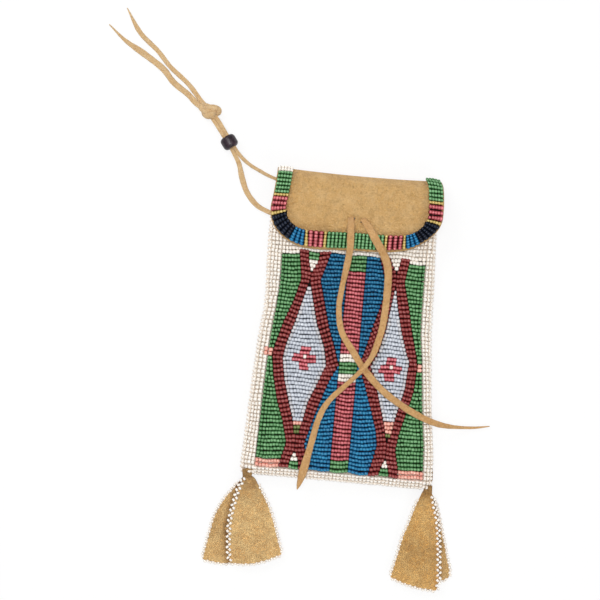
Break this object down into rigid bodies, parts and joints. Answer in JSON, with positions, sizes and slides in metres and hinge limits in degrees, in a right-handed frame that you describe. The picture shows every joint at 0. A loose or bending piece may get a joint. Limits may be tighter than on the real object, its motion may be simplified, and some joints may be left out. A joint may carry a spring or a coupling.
{
  "type": "strike-a-light bag",
  "caption": "Small hide pouch with a beaded front in diamonds and stripes, a beaded fold-over flap with tie thongs, a knotted hanger thong with a bead, and hide dangles at the bottom corners.",
  "frame": {"origin": "on the back panel's underside, midway between the fold and the bottom seam, where the pouch lies on a table", "axes": "+X to the right as seen on the beaded front, +Y towards the flap's fold, +Z out of the beaded front"},
  "size_m": [0.1875, 0.2498, 0.0157],
  "materials": {
    "hide": "smoke-tanned suede",
    "thong": "cut hide thong",
    "white_bead": "opaque glass seed beads",
    "green_bead": "opaque glass seed beads",
    "dark_red_bead": "translucent dark red glass seed beads",
    "rose_bead": "white-centred rose glass seed beads",
    "blue_bead": "opaque glass seed beads",
    "pale_bead": "opaque pale blue glass seed beads",
    "red_bead": "opaque glass seed beads",
    "pink_bead": "opaque glass seed beads",
    "navy_bead": "opaque glass seed beads",
    "bright_blue_bead": "opaque glass seed beads",
    "dark_bead": "dark wound glass bead"
  },
  "bodies": {
    "pouch": {"back_panel": "hide", "front_panel": "hide", "border_left": "white_bead", "border_right": "white_bead", "border_bottom": "white_bead", "border_top": "white_bead", "left_lattice_lane_a": "dark_red_bead", "left_lattice_lane_b": "dark_red_bead", "left_diamond_fill": "pale_bead", "left_diamond_cross": "red_bead", "left_diamond_tip": "pink_bead", "left_top_gusset": "green_bead", "left_bottom_gusset": "green_bead", "right_lattice_lane_a": "dark_red_bead", "right_lattice_lane_b": "dark_red_bead", "right_diamond_fill": "pale_bead", "right_diamond_cross": "red_bead", "right_diamond_tip": "pink_bead", "right_top_gusset": "green_bead", "right_bottom_gusset": "green_bead", "left_green_upper": "green_bead", "left_green_lower": "green_bead", "left_pink_bar": "pink_bead", "right_green_upper": "green_bead", "right_green_lower": "green_bead", "right_pink_bar": "pink_bead", "left_blue_upper": "blue_bead", "left_blue_lower": "blue_bead", "right_blue_upper": "blue_bead", "right_blue_lower": "blue_bead", "stripe_bottom_cap": "green_bead", "stripe_rose_lower": "rose_bead", "stripe_centre": "white_bead", "stripe_rose_upper": "rose_bead", "stripe_top_cap": "green_bead", "flap_fold": "hide", "hanger_thong": "thong"},
    "flap": {"flap_panel": "hide", "flap_left_green": "green_bead", "flap_left_upper_rose": "rose_bead", "flap_left_navy": "navy_bead", "flap_left_blue": "bright_blue_bead", "flap_left_lower_rose": "rose_bead", "flap_middle_green": "green_bead", "flap_right_lower_rose": "rose_bead", "flap_right_blue": "bright_blue_bead", "flap_right_navy": "navy_bead", "flap_right_upper_rose": "rose_bead", "flap_right_green": "green_bead", "left_tie": "thong", "right_tie": "thong"},
    "hanger_bead": {"thong_bead": "dark_bead"},
    "left_dangle": {"left_dangle_back_leaf": "hide", "left_dangle_front_leaf": "hide", "left_dangle_edging": "white_bead"},
    "right_dangle": {"right_dangle_back_leaf": "hide", "right_dangle_front_leaf": "hide", "right_dangle_edging": "white_bead"}
  },
  "joints": [
    {"name": "flap_open", "type": "hinge", "parent": "pouch", "child": "flap", "pos_m": [0, 0.0631, 0.0061], "axis": [-1, 0, 0], "range_deg": [0, 170], "deforming": ["flap_fold"]},
    {"name": "bead_slide", "type": "slide", "parent": "pouch", "child": "hanger_bead", "axis": [-0.5933, 0.805, 0], "range_m": [-0.002, 0.008]},
    {"name": "left_dangle_swing", "type": "hinge", "parent": "pouch", "child": "left_dangle", "pos_m": [-0.0389, -0.0716, 0], "axis": [0, 0, 1], "range_deg": [-25, 25]},
    {"name": "right_dangle_swing", "type": "hinge", "parent": "pouch", "child": "right_dangle", "pos_m": [0.0424, -0.0716, 0], "axis": [0, 0, 1], "range_deg": [-25, 25]}
  ]
}
